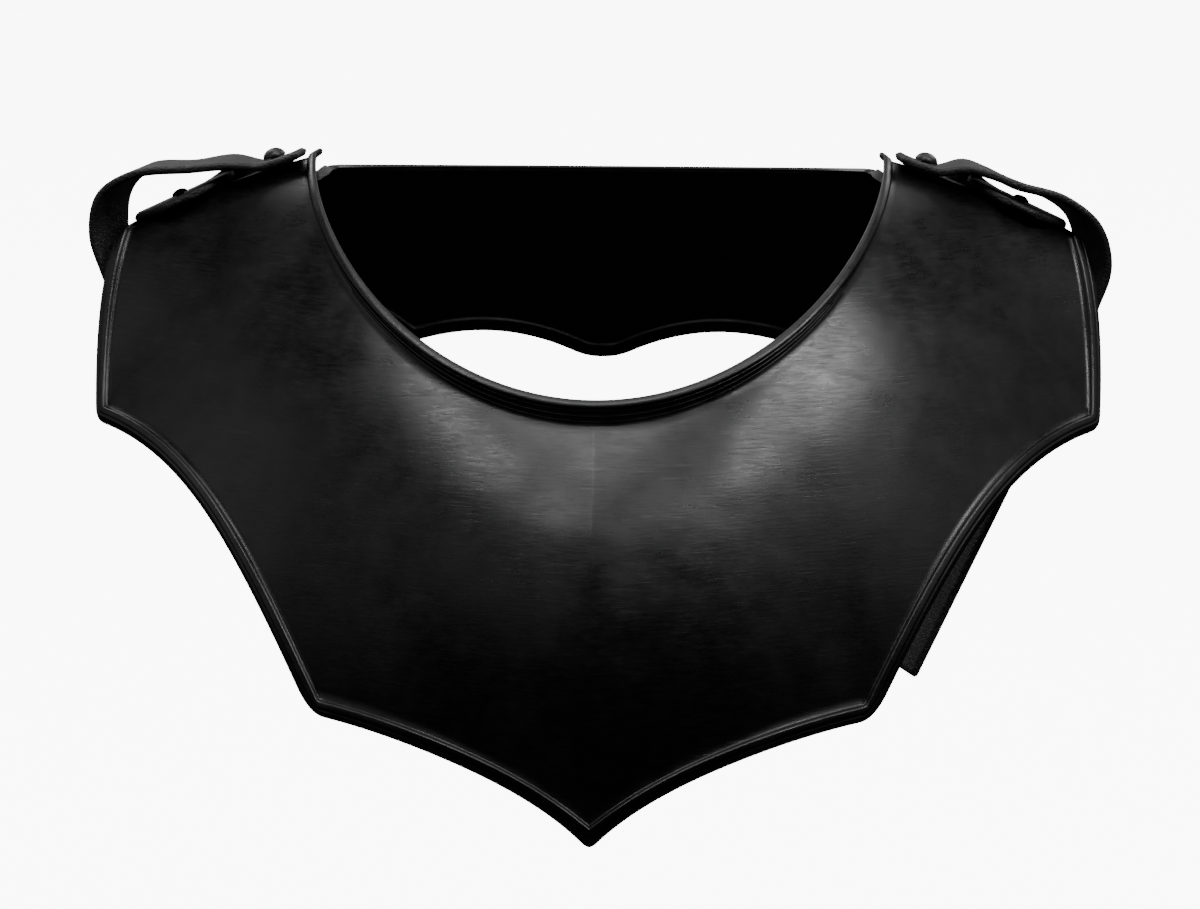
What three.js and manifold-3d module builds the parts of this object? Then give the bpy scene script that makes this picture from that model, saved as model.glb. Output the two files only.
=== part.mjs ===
// Steel gorget: a breast plate and a nape plate of blackened steel, joined over the shoulders by
// short leather straps, with a long fastening strap looping off each shoulder.
// Millimetres, +Z up, +X to the wearer's left, +Y to the back. The origin is at the middle of the
// neck opening, level with the crests of the shoulders. Pieces named left and right are on those
// sides as the gorget is seen from the front, so left is at -X.
import * as THREE from 'three';
import { mergeVertices } from 'three/addons/utils/BufferGeometryUtils.js';
import Module from 'manifold-3d';

const wasm = await Module();
wasm.setup();

// Steel sheet and leather
const sheetThickness = 1.5;
const seatGap = 0.3;

// Neck opening of the breast plate, measured at the foot of its lip
const neckHalfWidth = 103;
const neckDepth = 95;
const neckDrop = 74;
const neckDropPower = 1.3;

// Breast plate: how far it runs down from the neck at the middle, and behind the shoulder's crest
const breastReach = 143;
const crestRun = 20;
const crestTilt = 5;
const crestTaper = 0.3;
const ridgeHeight = 2.2;
const ridgeHalfWidth = 40;

// Turned-up lip round the neck, with a wired bead rolled towards the neck
const lipHeight = 6.6;
const lipShoulderHeight = 1.2;
const lipBeadRadius = 1.5;
const lipBeadRoll = 1;
const lipFillet = 1.6;
const lipTipTurn = 158;

// Raised, rolled border along the outer edges
const borderWidth = 6;
const borderRaise = 1.5;
const borderUnder = 0.7;
const steepestCrossing = 0.9;

// Nape plate
const napeHalfWidth = 103;
const napeCentreBack = 20;
const napeDepth = 55;
const napeSideDrop = 5;
const napeDrop = 8;
const napeReach = 84;
const napeEnd = 76;
const napeCornerRadius = 12;
const napeRidgeHeight = 2;
const napeRidgeHalfWidth = 34;

// Leather straps over the shoulders that join the two plates
const joiningWidth = 39;
const joiningThickness = 2.5;
const joiningPlace = 48.5;
const joiningForward = 8;
const joiningRivetBack = 4;
const joiningNapeRun = 34;
const joiningNapeAt = 66;
const joiningNapeTurns = [6, 0, -8];

// Fastening straps: riveted beside the neck, looped past the plate's edge, hanging behind it
const strapWidth = 26;
const strapThickness = 3;
const strapBack = 6;
const strapStart = 2.8;
const strapStartLift = 1;
const strapRelease = 5;
const strapLift = 0.3;
const loopOut = 5;
const leftTailInset = 78;
const rightTailInset = 68;
const tailDrop = 182;
const tailForward = 22;
const tailShares = [0.35, 0.7, 1];

// Leather's softened edges: shares of the half width and of the thickness, and the rounding at an end
const leatherEdge = 0.1;
const leatherEdgeThickness = 0.35;
const leatherTip = 0.4;

// Rivets
const domeRivetPlace = 12.5;
const domeRivetRadius = 4.1;
const domeRivetHeight = 3.4;
const smallRivetRadius = 3;
const smallRivetHeight = 1.9;
const shankRadius = 1.6;
const shankClearance = 0.3;
const peenRadius = 2.8;
const peenHeight = 1;
const rivetSides = 14;
const drillLength = 4 * (sheetThickness + strapThickness);
const weldDistance = 1e-4;

// How the breast plate runs off the neck, a row for each direction round it.
// at: degrees round the neck from the front. fan: degrees that the run turns off the front in plan.
// reach: share of breastReach over which the slope goes from top to edge. top, edge: degrees down.
const breastShape = [
  { at: 0, fan: 0, reach: 1, top: 46, edge: 88 },
  { at: 35, fan: 42, reach: 0.88, top: 50, edge: 80 },
  { at: 70, fan: 87, reach: 0.74, top: 30, edge: 52 },
  { at: 90, fan: 90, reach: 0.535, top: 14, edge: 31 },
];

// Points of the breast plate's edge. at: degrees round the neck. run: share of breastReach.
// dip: share of breastReach that the edge to the next point is cut back halfway along.
// round: millimetres over which the two edges run into each other at the point.
const breastPoints = [
  { at: 0, run: 1, dip: 0.09, round: 4 },
  { at: 35, run: 0.87, dip: 0.178, round: 4 },
  { at: 70, run: 0.74, dip: 0.01, round: 4 },
  { at: 90, run: 0.535, dip: 0, round: 0 },
];

// How the nape plate runs off the neck, from the middle of the back, in the same columns
const napeShape = [
  { at: 0, fan: 0, reach: 1, top: 70, edge: 84 },
  { at: 40, fan: 24, reach: 0.9, top: 66, edge: 84 },
  { at: 76, fan: 80, reach: 0.8, top: 40, edge: 60 },
];

const napePoints = [
  { at: 0, run: 1, dip: 0.12, round: 16 },
  { at: 40, run: 0.88, dip: 0.16, round: 3 },
  { at: 76, run: 0.86, dip: 0, round: 0 },
];

// Route of each fastening strap once it leaves the plate. out: share of the way from the neck to the
// loop's far side. rise: share of the shoulder's drop. yaw: degrees that its back edge turns inward.
// back: share of the strap's width that it lies behind its rivet. tilt: degrees that it falls backwards.
const leftRoute = [
  { out: 0.38, rise: -0.075, back: 0, yaw: 0, tilt: 1 },
  { out: 0.56, rise: -0.13, back: 0, yaw: 1, tilt: 3 },
  { out: 0.8, rise: -0.19, back: 0.04, yaw: 9, tilt: 1 },
  { out: 0.94, rise: -0.45, back: 0.1, yaw: 18, tilt: 0 },
  { out: 0.98, rise: -0.88, back: 0.16, yaw: 20, tilt: 0 },
  { out: 0.94, rise: -1.4, back: 0.16, yaw: 15, tilt: 0 },
];

const rightRoute = [
  { out: 0.36, rise: -0.06, back: 0, yaw: 0, tilt: 2 },
  { out: 0.46, rise: -0.13, back: 0, yaw: 0, tilt: 4 },
  { out: 0.62, rise: -0.3, back: 0, yaw: 2, tilt: 7 },
  { out: 0.79, rise: -0.43, back: 0.04, yaw: 9, tilt: 5 },
  { out: 0.93, rise: -0.72, back: 0.1, yaw: 17, tilt: 0 },
  { out: 0.985, rise: -1.2, back: 0.16, yaw: 20, tilt: 0 },
  { out: 0.94, rise: -1.75, back: 0.16, yaw: 15, tilt: 0 },
];

const degrees = Math.PI / 180;
const probe = 0.05;
const mix = (a, b, share) => a + (b - a) * share;

/** Reads one column of a table at a place between its rows, along a smooth curve. */
function readColumn(table, column, at) {
  let i = 0;
  while (i < table.length - 2 && at > table[i + 1].at) i += 1;
  const slope = (k) => {
    if (k === 0) return 0;
    const before = table[k - 1];
    const after = table[Math.min(k + 1, table.length - 1)];
    return (after[column] - before[column]) / (after.at - before.at);
  };
  const span = table[i + 1].at - table[i].at;
  const s = (at - table[i].at) / span;
  const a = table[i][column];
  const b = table[i + 1][column];
  const inTangent = slope(i) * span;
  const outTangent = slope(i + 1) * span;
  const h = 2 * s ** 3 - 3 * s ** 2;
  return a * (1 + h) - b * h + inTangent * (s ** 3 - 2 * s ** 2 + s) + outTangent * (s ** 3 - s ** 2);
}

/** The keel along the middle of a plate: full height at the crease, gone at its half width. */
function keel(across, height, halfWidth) {
  return height * Math.max(0, 1 - Math.abs(across) / halfWidth) ** 2;
}

/** A plate's skin as a function of the direction round the neck and the run down from it. */
class Skin {
  constructor({ neck, shape, reach, facing, ridge, ridgeHalfWidth: ridgeWidth }) {
    Object.assign(this, { neck, shape, reach, facing, ridge, ridgeWidth });
  }

  /** Point on the skin before the keel is raised. past: run along Y beyond the shoulder. */
  bare(at, past, run) {
    const turn = Math.abs(at);
    const side = Math.sign(at) || 1;
    const foot = this.neck(turn, past);
    const fan = readColumn(this.shape, 'fan', turn) * degrees;
    const top = readColumn(this.shape, 'top', turn) * degrees;
    const edge = readColumn(this.shape, 'edge', turn) * degrees;
    const bend = (edge - top) / (this.reach * readColumn(this.shape, 'reach', turn));
    const out = (Math.sin(top + bend * run) - Math.sin(top)) / bend;
    const down = (Math.cos(top) - Math.cos(top + bend * run)) / bend;
    return new THREE.Vector3(
      side * (foot.x + out * Math.sin(fan)),
      foot.y + this.facing * out * Math.cos(fan),
      foot.z - down,
    );
  }

  /** Point, outward tangent and outer normal of the finished skin. */
  frame(at, past, run) {
    const point = this.bare(at, past, run);
    const tangent = this.bare(at, past, run + probe).sub(this.bare(at, past, run - probe)).normalize();
    const [atStep, pastStep] = past > 0 ? [0, probe] : [probe, 0];
    const round = this.bare(at + atStep, past + pastStep, run).sub(this.bare(at - atStep, past - pastStep, run));
    const normal = new THREE.Vector3().crossVectors(round, tangent).normalize();
    const outward = past > 0
      ? new THREE.Vector3(0, 0, 1)
      : new THREE.Vector3(point.x, point.y, (Math.abs(point.x) + neckHalfWidth) / 2);
    if (normal.dot(outward) < 0) normal.negate();
    const raised = keel(point.x, this.ridge, this.ridgeWidth) * Math.min(1, run / this.ridgeWidth);
    return { point: point.addScaledVector(normal, raised), tangent, normal };
  }
}

/** Run to a plate's edge between two of its points, drawn on past them. */
function edgeRun(skin, points, index, at) {
  const a = points[index];
  const b = points[index + 1];
  const s = (at - a.at) / (b.at - a.at);
  return skin.reach * (mix(a.run, b.run, s) - 4 * a.dip * s * (1 - s));
}

/** Run to the border's inner line, which lies a border's width square to the edge. */
function borderLine(skin, points, index, at) {
  const run = edgeRun(skin, points, index, at);
  const here = skin.bare(at, 0, run);
  const along = skin.bare(at + probe, 0, edgeRun(skin, points, index, at + probe)).sub(here).normalize();
  const down = skin.bare(at, 0, run - probe).sub(here).normalize();
  const crossing = Math.sqrt(1 - Math.min(steepestCrossing, along.dot(down) ** 2));
  return run - borderWidth / crossing;
}

/** The lesser of two runs, rounded where they meet. */
const softMin = (a, b, size) => {
  const h = Math.max(size - Math.abs(a - b), 0) / size;
  return Math.min(a, b) - h * h * size * 0.25;
};

/** Runs from the neck to a plate's edge and to its border's inner line, in one direction. */
function edgeAt(skin, points, at) {
  const turn = Math.abs(at);
  let index = 0;
  while (index < points.length - 2 && turn > points[index + 1].at) index += 1;
  const near = turn - points[index].at < points[index + 1].at - turn ? index - 1 : index + 1;
  const own = edgeRun(skin, points, index, turn);
  const ownLine = borderLine(skin, points, index, turn);
  if (near > points.length - 2) return { edge: own, line: ownLine };
  if (near < 0) {
    const mirrored = edgeRun(skin, points, 0, -turn);
    return { edge: softMin(own, mirrored, points[0].round), line: ownLine };
  }
  const other = edgeRun(skin, points, near, turn);
  const otherLine = borderLine(skin, points, near, turn);
  const { round } = points[Math.max(index, near)];
  return { edge: softMin(own, other, round), line: Math.min(ownLine, otherLine) };
}

/** Directions round the neck, gathered towards the points so that they come out round. */
function stations(points, steps) {
  const half = [];
  for (let i = 0; i < points.length - 1; i += 1) {
    for (let k = 0; k < steps[i]; k += 1) {
      half.push(mix(points[i].at, points[i + 1].at, (1 - Math.cos((Math.PI * k) / steps[i])) / 2));
    }
  }
  half.push(points.at(-1).at);
  return [...half.slice(1).reverse().map((at) => -at), ...half];
}

/** Closes rows of paired outer and inner points into one solid sheet. */
function sheetSolid(rows) {
  const across = rows[0].length;
  const positions = rows.flat().flatMap(({ outer, inner }) => [...outer.toArray(), ...inner.toArray()]);
  const faces = [];
  const quad = (a, b, c, d) => faces.push(a, b, c, a, c, d);
  const id = (i, j, side) => 2 * (i * across + j) + side;
  for (let i = 0; i < rows.length - 1; i += 1) {
    for (let j = 0; j < across - 1; j += 1) {
      quad(id(i, j, 0), id(i, j + 1, 0), id(i + 1, j + 1, 0), id(i + 1, j, 0));
      quad(id(i, j, 1), id(i + 1, j, 1), id(i + 1, j + 1, 1), id(i, j + 1, 1));
    }
    quad(id(i, 0, 1), id(i, 0, 0), id(i + 1, 0, 0), id(i + 1, 0, 1));
    const last = across - 1;
    quad(id(i, last, 0), id(i, last, 1), id(i + 1, last, 1), id(i + 1, last, 0));
  }
  const end = rows.length - 1;
  for (let j = 0; j < across - 1; j += 1) {
    quad(id(0, j, 0), id(0, j, 1), id(0, j + 1, 1), id(0, j + 1, 0));
    quad(id(end, j, 0), id(end, j + 1, 0), id(end, j + 1, 1), id(end, j, 1));
  }
  const geometry = new THREE.BufferGeometry();
  geometry.setAttribute('position', new THREE.Float32BufferAttribute(positions, 3));
  geometry.setIndex(faces);
  return geometry;
}

const breast = new Skin({
  neck: (turn, past) => ({
    x: neckHalfWidth * Math.sin(turn * degrees),
    y: -neckDepth * Math.cos(turn * degrees) + past,
    z: -neckDrop * Math.abs(Math.cos(turn * degrees)) ** neckDropPower - past * Math.tan(crestTilt * degrees),
  }),
  shape: breastShape,
  reach: breastReach,
  facing: -1,
  ridge: ridgeHeight,
  ridgeHalfWidth,
});

/** Cross-section of the lip: x away from the neck, z up, from the bead's tip to the wall's foot. */
function lipSection(height) {
  const half = sheetThickness / 2;
  const start = Math.asin(half / lipBeadRadius);
  const steps = 4;
  const tip = lipTipTurn * degrees;
  const pairs = [];
  for (let k = steps; k >= 0; k -= 1) {
    const a = mix(start, tip, k / steps);
    const roll = -half - (lipBeadRoll * k) / steps;
    const z = height - lipBeadRadius * Math.cos(a);
    pairs.push({
      outer: [roll + lipBeadRadius * Math.sin(a), z],
      inner: [roll - lipBeadRadius * Math.sin(a), z],
    });
  }
  pairs.push({ outer: [0, lipFillet], inner: [-sheetThickness, 0] });
  return pairs;
}

// Border's section: across from its inner line to the edge, height over the skin and depth under it
const borderSection = [
  { across: 0, over: 0, under: 0 },
  { across: 0.1, over: 0.75, under: 0.4 },
  { across: 0.3, over: 1, under: 1 },
  { across: 0.65, over: 1, under: 1 },
  { across: 0.9, over: 0.45, under: 0.7 },
  { across: 1, over: -0.35, under: 0 },
];

// Rows across each plate between its lip or border and its lower border, as shares of the way
const plateShares = [0.02, 0.2, 0.34, 0.48, 0.62, 0.76, 0.9];
const napeShares = [0.2, 0.4, 0.6, 0.8];

/** Points on the outer and inner faces of a plate, over and under its plain sheet. */
function sheetPair(skin, at, past, run, over, under) {
  const { point, normal } = skin.frame(at, past, run);
  return {
    outer: point.clone().addScaledVector(normal, over),
    inner: point.clone().addScaledVector(normal, -sheetThickness - under),
  };
}

/** One section of the breast plate, from its lip to its lower edge. */
function breastRow(at, past) {
  const foot = breast.frame(at, past, 0);
  const away = new THREE.Vector3(foot.point.x / neckHalfWidth ** 2, 0, 0);
  away.y = past > 0 ? 0 : foot.point.y / neckDepth ** 2;
  away.normalize();
  const height = mix(lipShoulderHeight, lipHeight, Math.cos(at * degrees));
  const lip = lipSection(height).map(({ outer, inner }) => ({
    outer: foot.point.clone().addScaledVector(away, outer[0]).setZ(foot.point.z + outer[1]),
    inner: foot.point.clone().addScaledVector(away, inner[0]).setZ(foot.point.z + inner[1]),
  }));
  const outline = edgeAt(breast, breastPoints, Math.abs(at));
  const edge = outline.edge - past * crestTaper;
  const line = outline.line - past * crestTaper;
  const plate = plateShares.map((share) => sheetPair(breast, at, past, mix(lipFillet, line, share), 0, 0));
  const border = borderSection.map(({ across, over, under }) => (
    sheetPair(breast, at, past, mix(line, edge, across), over * borderRaise, under * borderUnder)
  ));
  return [...lip, ...plate, ...border];
}

function frontPlate() {
  const turns = stations(breastPoints, [11, 11, 6]);
  const pasts = [crestRun / 2, crestRun];
  const rows = [
    ...[...pasts].reverse().map((past) => breastRow(-90, past)),
    ...turns.map((at) => breastRow(at, 0)),
    ...pasts.map((past) => breastRow(90, past)),
  ];
  return sheetSolid(rows);
}

const nape = new Skin({
  neck: (turn) => ({
    x: napeHalfWidth * Math.sin(turn * degrees),
    y: napeCentreBack + napeDepth * Math.cos(turn * degrees),
    z: -napeSideDrop - napeDrop * Math.cos(turn * degrees),
  }),
  shape: napeShape,
  reach: napeReach,
  facing: 1,
  ridge: napeRidgeHeight,
  ridgeHalfWidth: napeRidgeHalfWidth,
});

/** How far a rounded corner takes an edge back, at a distance from the plate's end. */
function cornerCut(distance) {
  const inside = Math.max(0, napeCornerRadius - distance);
  return napeCornerRadius - Math.sqrt(napeCornerRadius ** 2 - inside ** 2);
}

/** Height over and depth under the skin at a distance from a bordered edge. */
function borderAt(distance) {
  const across = 1 - Math.min(1, Math.max(0, distance) / borderWidth);
  const i = Math.max(1, borderSection.findIndex((row) => row.across >= across));
  const [a, b] = [borderSection[i - 1], borderSection[i]];
  const s = (across - a.across) / (b.across - a.across);
  return { over: mix(a.over, b.over, s), under: mix(a.under, b.under, s) };
}

/** One section of the nape plate, from its top edge to its lower edge. */
function napeRow(at) {
  const fromEnd = (napeEnd - Math.abs(at)) * degrees * napeHalfWidth;
  const { edge, line } = edgeAt(nape, napePoints, Math.abs(at));
  const cut = cornerCut(fromEnd);
  const bottom = edge - cut;
  const inner = Math.min(line, bottom - borderWidth);
  const topRuns = borderSection.map(({ across }) => cut + borderWidth * (1 - across)).reverse();
  const plate = napeShares.map((share) => mix(topRuns.at(-1), inner, share));
  const bottomRuns = borderSection.map(({ across }) => mix(inner, bottom, across));
  const end = borderAt(fromEnd);
  return [...topRuns, ...plate, ...bottomRuns].map((run) => {
    const width = (bottom - inner) / borderWidth;
    const side = borderAt(Math.min(run - cut, (bottom - run) / width));
    const over = fromEnd < probe ? Math.min(end.over, side.over) : Math.max(end.over, side.over);
    return sheetPair(nape, at, 0, run, over * borderRaise, Math.max(end.under, side.under) * borderUnder);
  });
}

function backPlate() {
  return sheetSolid(stations(napePoints, [7, 9]).map(napeRow).reverse());
}

/** A flat strap along frames that give its centre line and its width's direction. */
function ribbon(frames, width, thickness, steps, roundStart, roundEnd) {
  const centre = new THREE.CatmullRomCurve3(frames.map(({ point }) => point), false, 'centripetal');
  const widths = new THREE.CatmullRomCurve3(frames.map(({ across }) => across), false, 'centripetal');
  const length = centre.getLength();
  const rows = [];
  for (let i = 0; i <= steps; i += 1) {
    const share = i / steps;
    const t = centre.getUtoTmapping(share);
    const tangent = centre.getTangent(t);
    const across = widths.getPoint(t);
    across.addScaledVector(tangent, -across.dot(tangent)).normalize();
    const up = new THREE.Vector3().crossVectors(tangent, across).normalize();
    const radius = width / 2;
    const nearest = Math.min(roundStart ? share * length : radius, roundEnd ? (1 - share) * length : radius);
    const inside = Math.max(0, radius - nearest - leatherTip);
    const half = Math.sqrt(radius ** 2 - inside ** 2);
    const point = centre.getPoint(t);
    const row = [-1, leatherEdge - 1, 1 - leatherEdge, 1].map((side) => {
      const thick = Math.abs(side) === 1 ? thickness * leatherEdgeThickness : thickness / 2;
      const place = point.clone().addScaledVector(across, side * half);
      return {
        outer: place.clone().addScaledVector(up, thick),
        inner: place.clone().addScaledVector(up, -thick),
      };
    });
    rows.push(row);
  }
  return sheetSolid(rows.reverse());
}

/** Point at a height over a skin, with the width direction that a strap has there. */
function seat({ point, tangent, normal }, height, across) {
  return { point: point.clone().addScaledVector(normal, height), across: across ?? tangent };
}

/** The strap that joins the two plates over one shoulder. */
function joiningStrap() {
  const height = seatGap + joiningThickness / 2;
  const places = [-joiningForward, -joiningForward / 2, 0, crestRun / 2, crestRun];
  const front = places.map((y) => {
    const frame = breast.frame(90, Math.max(y, probe), joiningPlace);
    frame.point.y = y;
    return seat(frame, height);
  });
  const back = joiningNapeTurns.map((turn) => (
    seat(nape.frame(joiningNapeAt + turn, 0, joiningNapeRun), height)
  ));
  return ribbon([...front, ...back], joiningWidth, joiningThickness, 18, true, true);
}

/** The strap that is riveted beside the neck, loops past the plate's edge and hangs behind it. */
function fasteningStrap(route, tailInset) {
  const along = new THREE.Vector3(0, Math.cos(crestTilt * degrees), -Math.sin(crestTilt * degrees));
  const height = seatGap + strapThickness / 2;
  const seated = [
    { run: strapStart, lift: strapStartLift },
    { run: (strapStart + domeRivetPlace) / 2, lift: strapStartLift / 8 },
    { run: domeRivetPlace, lift: 0 },
    { run: domeRivetPlace + strapRelease, lift: strapLift },
  ].map(({ run, lift }) => seat(breast.frame(90, strapBack, run), height + lift, along));
  const edge = breast.bare(90, strapBack, edgeAt(breast, breastPoints, 90).edge);
  const loopX = edge.x + loopOut;
  const direction = ({ yaw, tilt }) => new THREE.Vector3(
    -Math.sin(yaw * degrees),
    Math.cos(yaw * degrees) * Math.cos(tilt * degrees),
    -Math.sin(tilt * degrees),
  );
  const flown = route.map((row) => ({
    point: new THREE.Vector3(
      mix(neckHalfWidth, loopX, row.out),
      strapBack + strapWidth * row.back,
      -edge.z * row.rise,
    ),
    across: direction(row),
  }));
  const last = route.at(-1);
  const from = flown.at(-1).point;
  const to = new THREE.Vector3(loopX - tailInset, strapBack - tailForward, -tailDrop);
  const tail = tailShares.map((share) => ({
    point: from.clone().lerp(to, share),
    across: direction(last),
  }));
  return ribbon([...seated, ...flown, ...tail], strapWidth, strapThickness, 36, false, false);
}

/** A round-headed rivet through a stack of leather and plate, peened over on the inside. */
function rivet({ point, normal }, stack, radius, height) {
  const under = -sheetThickness - seatGap;
  const profile = [
    [0, under - peenHeight],
    [peenRadius * 0.8, under - peenHeight],
    [peenRadius, under],
    [shankRadius, under],
    [shankRadius, stack],
    [radius, stack],
    [radius * 0.97, stack + height * 0.25],
    [radius * 0.8, stack + height * 0.62],
    [radius * 0.45, stack + height * 0.92],
    [0, stack + height],
  ];
  const geometry = new THREE.LatheGeometry(profile.map(([x, y]) => new THREE.Vector2(x, y)), rivetSides);
  return aim(geometry, point, normal);
}

/** Turns a shape made along +Y to stand on a point along a normal. */
function aim(geometry, point, normal) {
  const turn = new THREE.Quaternion().setFromUnitVectors(new THREE.Vector3(0, 1, 0), normal);
  return geometry.applyQuaternion(turn).translate(point.x, point.y, point.z);
}

/** A solid that can be cut, from a shape's bare faces. */
function toSolid(geometry) {
  const bare = geometry.clone();
  bare.deleteAttribute('normal');
  bare.deleteAttribute('uv');
  const merged = mergeVertices(bare, weldDistance);
  const mesh = new wasm.Mesh({
    numProp: 3,
    vertProperties: new Float32Array(merged.attributes.position.array),
    triVerts: new Uint32Array(merged.index.array),
  });
  return new wasm.Manifold(mesh);
}

/** Cuts a rivet's hole through a piece. */
function drill(geometry, { point, normal }) {
  const radius = shankRadius + shankClearance;
  const hole = new THREE.CylinderGeometry(radius, radius, drillLength, rivetSides);
  const cut = toSolid(geometry).subtract(toSolid(aim(hole, point, normal)));
  const { vertProperties, triVerts } = cut.getMesh();
  const result = new THREE.BufferGeometry();
  result.setAttribute('position', new THREE.BufferAttribute(new Float32Array(vertProperties), 3));
  result.setIndex(new THREE.BufferAttribute(new Uint32Array(triVerts), 1));
  return result;
}

/** The same shape on the other side of the body. */
function mirrored(geometry) {
  const copy = geometry.clone().scale(-1, 1, 1);
  if (!copy.index) return copy;
  const index = copy.index.array;
  for (let i = 0; i < index.length; i += 3) [index[i], index[i + 1]] = [index[i + 1], index[i]];
  return copy;
}

const mirroredFrame = ({ point, normal }) => ({
  point: new THREE.Vector3(-point.x, point.y, point.z),
  normal: new THREE.Vector3(-normal.x, normal.y, normal.z),
});

const blackSteel = new THREE.MeshStandardMaterial({ color: 0x15161a, roughness: 0.42, metalness: 0.9 });
const rivetSteel = new THREE.MeshStandardMaterial({ color: 0x1c1d20, roughness: 0.4, metalness: 0.9 });
const blackLeather = new THREE.MeshStandardMaterial({ color: 0x121212, roughness: 0.6, metalness: 0 });

const gorget = new THREE.Group();

/** Adds a named piece to the gorget. */
function addPiece(name, geometry, material) {
  const mesh = new THREE.Mesh(geometry, material.clone());
  mesh.name = name;
  gorget.add(mesh);
}

const domePlace = breast.frame(90, strapBack, domeRivetPlace);
const smallPlace = breast.frame(90, joiningRivetBack, joiningPlace);
const napePlace = nape.frame(joiningNapeAt, 0, joiningNapeRun);

let front = frontPlate();
let back = backPlate();
for (const place of [domePlace, smallPlace, mirroredFrame(domePlace), mirroredFrame(smallPlace)]) {
  front = drill(front, place);
}
for (const place of [napePlace, mirroredFrame(napePlace)]) back = drill(back, place);
addPiece('front_plate', front, blackSteel);
addPiece('back_plate', back, blackSteel);

const onStrap = seatGap + strapThickness + seatGap;
const onJoining = seatGap + joiningThickness + seatGap;
const joining = [smallPlace, napePlace].reduce(drill, joiningStrap());
const rivets = {
  dome_rivet: rivet(domePlace, onStrap, domeRivetRadius, domeRivetHeight),
  small_rivet: rivet(smallPlace, onJoining, smallRivetRadius, smallRivetHeight),
  nape_rivet: rivet(napePlace, onJoining, smallRivetRadius, smallRivetHeight),
};
addPiece('joining_strap_left', mirrored(joining), blackLeather);
addPiece('joining_strap_right', joining, blackLeather);
addPiece('strap_left', mirrored(drill(fasteningStrap(leftRoute, leftTailInset), domePlace)), blackLeather);
addPiece('strap_right', drill(fasteningStrap(rightRoute, rightTailInset), domePlace), blackLeather);
for (const [name, geometry] of Object.entries(rivets)) {
  addPiece(`${name}_left`, mirrored(geometry), rivetSteel);
  addPiece(`${name}_right`, geometry, rivetSteel);
}

export default gorget;
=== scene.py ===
"""Blackened steel gorget: fine steel plates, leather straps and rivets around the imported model.

Shapes are worked out in millimetres from the same sizes as the solids and written in metres.
The origin is the middle of the neck opening, level with the shoulder crests, with +Z up and +Y
to the wearer's back. Left and right are as seen from the front.
"""

import logging
import math
from dataclasses import dataclass, field
from enum import Enum
from typing import Callable, Sequence

import bpy
from mathutils import Matrix, Vector

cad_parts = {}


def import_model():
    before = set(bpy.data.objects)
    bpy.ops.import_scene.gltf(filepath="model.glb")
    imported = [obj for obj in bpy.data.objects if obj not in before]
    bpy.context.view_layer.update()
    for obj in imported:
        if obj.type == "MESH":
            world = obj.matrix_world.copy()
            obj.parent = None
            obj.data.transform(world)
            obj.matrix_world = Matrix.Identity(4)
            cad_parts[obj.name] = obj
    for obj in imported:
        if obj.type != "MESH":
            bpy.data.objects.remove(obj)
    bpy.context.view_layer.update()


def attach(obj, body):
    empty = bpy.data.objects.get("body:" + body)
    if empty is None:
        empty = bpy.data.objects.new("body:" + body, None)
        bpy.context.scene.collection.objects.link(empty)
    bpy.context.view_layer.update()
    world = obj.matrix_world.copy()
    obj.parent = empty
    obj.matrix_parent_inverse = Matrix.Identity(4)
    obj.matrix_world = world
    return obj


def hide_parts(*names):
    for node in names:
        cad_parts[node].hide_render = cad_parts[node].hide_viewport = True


LOG = logging.getLogger("gorget")
MM = 0.001

SHEET_THICKNESS = 1.5
SEAT_GAP = 0.3
STEP = 0.05
STEEPEST = 0.9
OUTWARD_SLOPE = 0.5
OUTWARD_LIFT = 60.0

Grey = tuple[float, float, float, float]


class Side(Enum):
    """The two sides of the gorget, as the sign of X."""

    LEFT = -1
    RIGHT = 1


class Slot(Enum):
    """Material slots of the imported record."""

    STEEL = "blackened_steel"
    LEATHER = "black_leather"
    RIVET = "rivet_steel"


@dataclass(frozen=True)
class ShapeRow:
    """How a plate runs off the neck in one direction: degrees, and a share of its reach."""

    at: float
    fan: float
    reach: float
    top: float
    edge: float


@dataclass(frozen=True)
class EdgePoint:
    """A point of a plate's edge: degrees, shares of the reach, and millimetres of rounding."""

    at: float
    run: float
    dip: float
    round: float


@dataclass(frozen=True)
class RouteRow:
    """A place on a fastening strap's way once it has left the plate."""

    out: float
    rise: float
    back: float
    yaw: float
    tilt: float


@dataclass(frozen=True)
class Pair:
    """A point on a sheet's outer face, the one behind it, and how worn each of them is; this also
    carries painted shade on strap edges and a painted highlight on the keel.
    """

    outer: Vector
    inner: Vector
    wear: float = 0.0
    wear_inner: float = 0.0


@dataclass(frozen=True)
class Seat:
    """A point on a skin with its run direction and outer normal."""

    point: Vector
    tangent: Vector
    normal: Vector


def mix(a: float, b: float, share: float) -> float:
    """Return the value a share of the way from a to b."""
    return a + (b - a) * share


def smooth(share: float) -> float:
    """Return a share eased at both ends."""
    share = min(1.0, max(0.0, share))
    return share * share * (3.0 - 2.0 * share)


def read_column(table: Sequence[ShapeRow], column: str, at: float) -> float:
    """Read a column of a table between its rows, along a smooth curve.

    Args:
        table: Rows with rising at.
        column: Name of the column.
        at: Place to read, in degrees.

    Returns:
        The column's value there.
    """
    i = 0
    while i < len(table) - 2 and at > table[i + 1].at:
        i += 1

    def slope(k: int) -> float:
        """Return the column's slope at a row, level at the first."""
        if k == 0:
            return 0.0
        before, after = table[k - 1], table[min(k + 1, len(table) - 1)]
        return (getattr(after, column) - getattr(before, column)) / (after.at - before.at)

    span = table[i + 1].at - table[i].at
    s = (at - table[i].at) / span
    a, b = getattr(table[i], column), getattr(table[i + 1], column)
    h = 2 * s**3 - 3 * s**2
    return (
        a * (1 + h) - b * h
        + slope(i) * span * (s**3 - 2 * s**2 + s)
        + slope(i + 1) * span * (s**3 - s**2)
    )


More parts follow.
